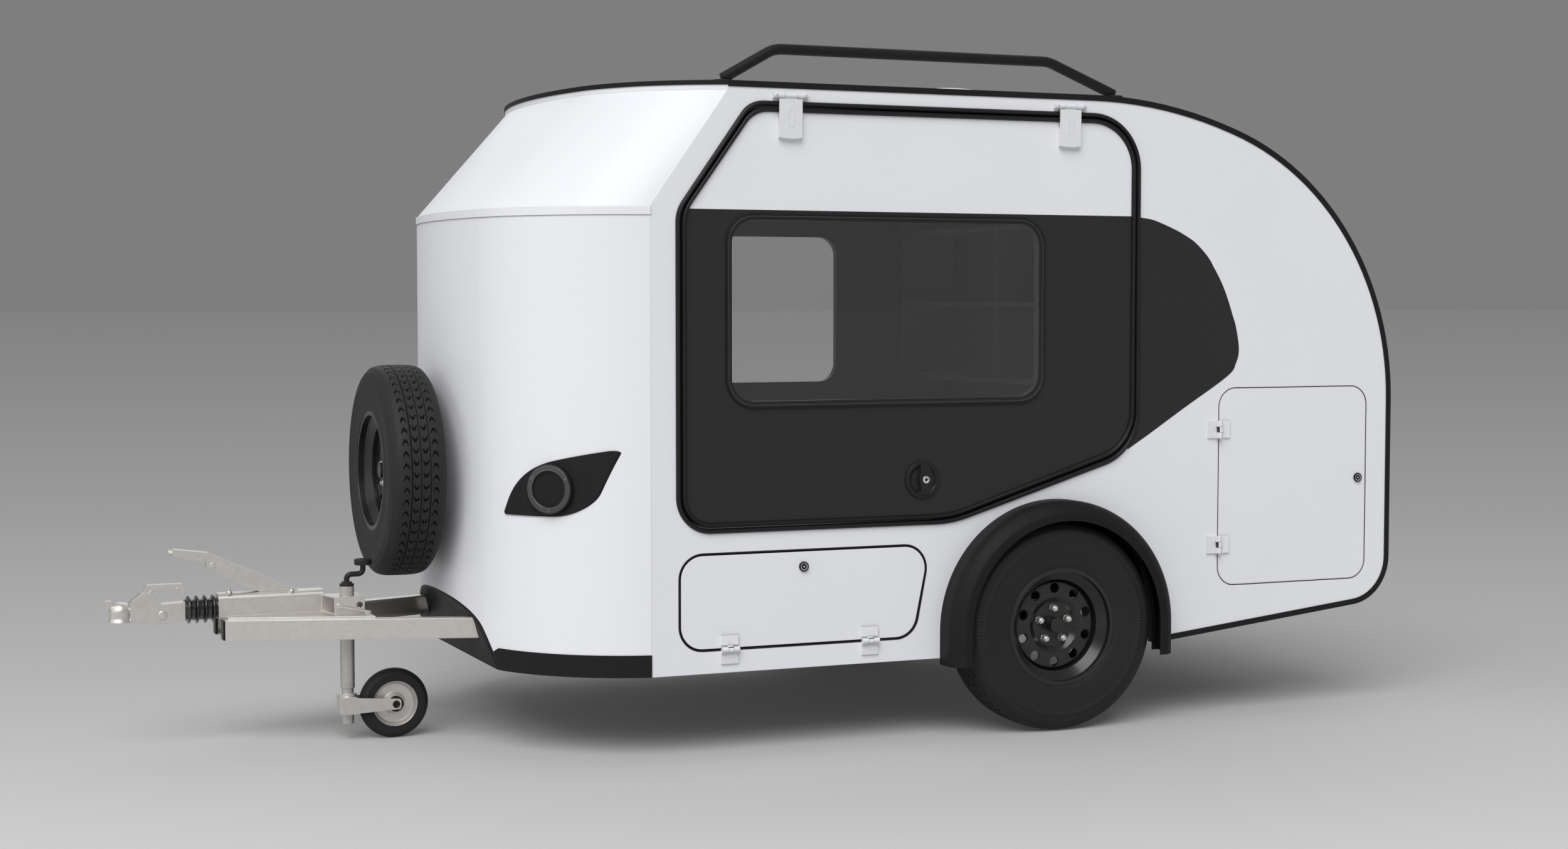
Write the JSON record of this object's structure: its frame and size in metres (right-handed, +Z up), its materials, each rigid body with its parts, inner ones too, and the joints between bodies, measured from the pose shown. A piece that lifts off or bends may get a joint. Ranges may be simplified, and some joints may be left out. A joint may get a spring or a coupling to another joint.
{
  "type": "teardrop camping trailer",
  "caption": "Small single-axle camping trailer with a rounded white body, lift-up side doors, low hatches, nose-mounted spare wheel, drawbar with overrun coupling and jockey wheel.",
  "frame": {"origin": "ground level, centred under the trailer's overall length and width", "axes": "+X forward to the coupling, +Y to the trailer's left, +Z up"},
  "size_m": [4.48, 1.924, 2.3139],
  "materials": {
    "body_white": "satin",
    "panel_grey": "satin",
    "hatch_white": "satin",
    "trim_black": "matte",
    "vent_plastic": "matte",
    "seal_rubber": "matte",
    "tyre_rubber": "matte",
    "rim_black": "gloss",
    "galvanised": "dull galvanised",
    "tinted_glass": "gloss",
    "lamp_clear": "gloss",
    "lamp_red": "gloss",
    "floor_wood": "satin"
  },
  "bodies": {
    "chassis": {"side_wall_left": "body_white", "side_wall_right": "body_white", "nose_panel": "body_white", "nose_trim": "body_white", "nose_hood": "body_white", "roof_panel": "body_white", "hinge_bases": "hatch_white", "edge_trims": "trim_black", "nose_skirt": "trim_black", "fenders": "trim_black", "lamp_surrounds": "trim_black", "roof_rails": "trim_black", "jockey_crank": "trim_black", "roof_vent": "vent_plastic", "plate_holder": "vent_plastic", "door_frames": "seal_rubber", "bellows": "seal_rubber", "spare_tyre": "tyre_rubber", "spare_rim": "rim_black", "spare_carrier": "rim_black", "chassis_rails": "galvanised", "cross_members": "galvanised", "drawbars": "galvanised", "axle_beam": "galvanised", "trailing_arms": "galvanised", "overrun_housing": "galvanised", "handbrake_lever": "galvanised", "jockey_sleeve": "galvanised", "jockey_clamp": "galvanised", "coupling_head": "galvanised", "front_lamps": "lamp_clear", "tail_lamps": "lamp_red", "floor_panel": "floor_wood", "bed_deck": "floor_wood", "shelf_unit": "floor_wood", "wheel_boxes": "floor_wood", "locker_tubs": "floor_wood"},
    "wheel_left": {"tyre_left": "tyre_rubber", "rim_left": "rim_black"},
    "door_left": {"door_panel_left": "panel_grey", "door_seal_left": "seal_rubber", "door_window_left": "tinted_glass", "door_hardware_left": "hatch_white", "door_latch_left": "trim_black"},
    "locker_left": {"locker_lid_left": "hatch_white"},
    "store_left": {"store_lid_left": "hatch_white"},
    "wheel_right": {"tyre_right": "tyre_rubber", "rim_right": "rim_black"},
    "door_right": {"door_panel_right": "panel_grey", "door_seal_right": "seal_rubber", "door_window_right": "tinted_glass", "door_hardware_right": "hatch_white", "door_latch_right": "trim_black"},
    "locker_right": {"locker_lid_right": "hatch_white"},
    "store_right": {"store_lid_right": "hatch_white"},
    "jockey_leg": {"jockey_leg": "galvanised"},
    "jockey_fork": {"jockey_fork": "galvanised"},
    "jockey_wheel": {"jockey_tyre": "tyre_rubber", "jockey_rim": "galvanised"}
  },
  "joints": [
    {"name": "wheel_left_spin", "type": "hinge", "parent": "chassis", "child": "wheel_left", "pos_m": [-0.8124, 0.829, 0.3595], "axis": [0, 1, 0], "continuous": true},
    {"name": "door_left_hinge", "type": "hinge", "parent": "chassis", "child": "door_left", "pos_m": [-0.3445, 0.862, 2.135], "axis": [1, 0, 0], "range_deg": [0, 88]},
    {"name": "locker_left_hinge", "type": "hinge", "parent": "chassis", "child": "locker_left", "pos_m": [0.1355, 0.862, 0.344], "axis": [-1, 0, 0], "range_deg": [0, 90]},
    {"name": "store_left_hinge", "type": "hinge", "parent": "chassis", "child": "store_left", "pos_m": [-1.481, 0.862, 0.813], "axis": [0, 0, -1], "range_deg": [0, 110]},
    {"name": "wheel_right_spin", "type": "hinge", "parent": "chassis", "child": "wheel_right", "pos_m": [-0.8124, -0.829, 0.3595], "axis": [0, 1, 0], "continuous": true},
    {"name": "door_right_hinge", "type": "hinge", "parent": "chassis", "child": "door_right", "pos_m": [-0.3445, -0.862, 2.135], "axis": [-1, 0, 0], "range_deg": [0, 88]},
    {"name": "locker_right_hinge", "type": "hinge", "parent": "chassis", "child": "locker_right", "pos_m": [0.1355, -0.862, 0.344], "axis": [1, 0, 0], "range_deg": [0, 90]},
    {"name": "store_right_hinge", "type": "hinge", "parent": "chassis", "child": "store_right", "pos_m": [-1.481, -0.862, 0.813], "axis": [0, 0, 1], "range_deg": [0, 110]},
    {"name": "jockey_leg_slide", "type": "slide", "parent": "chassis", "child": "jockey_leg", "axis": [0, 0, 1], "range_m": [-0.15, 0]},
    {"name": "jockey_swivel", "type": "hinge", "parent": "jockey_leg", "child": "jockey_fork", "pos_m": [1.473, 0.12, 0.126], "axis": [0, 0, 1], "continuous": true},
    {"name": "jockey_wheel_spin", "type": "hinge", "parent": "jockey_fork", "child": "jockey_wheel", "pos_m": [1.318, 0.12, 0.1172], "axis": [0, 1, 0], "continuous": true}
  ]
}
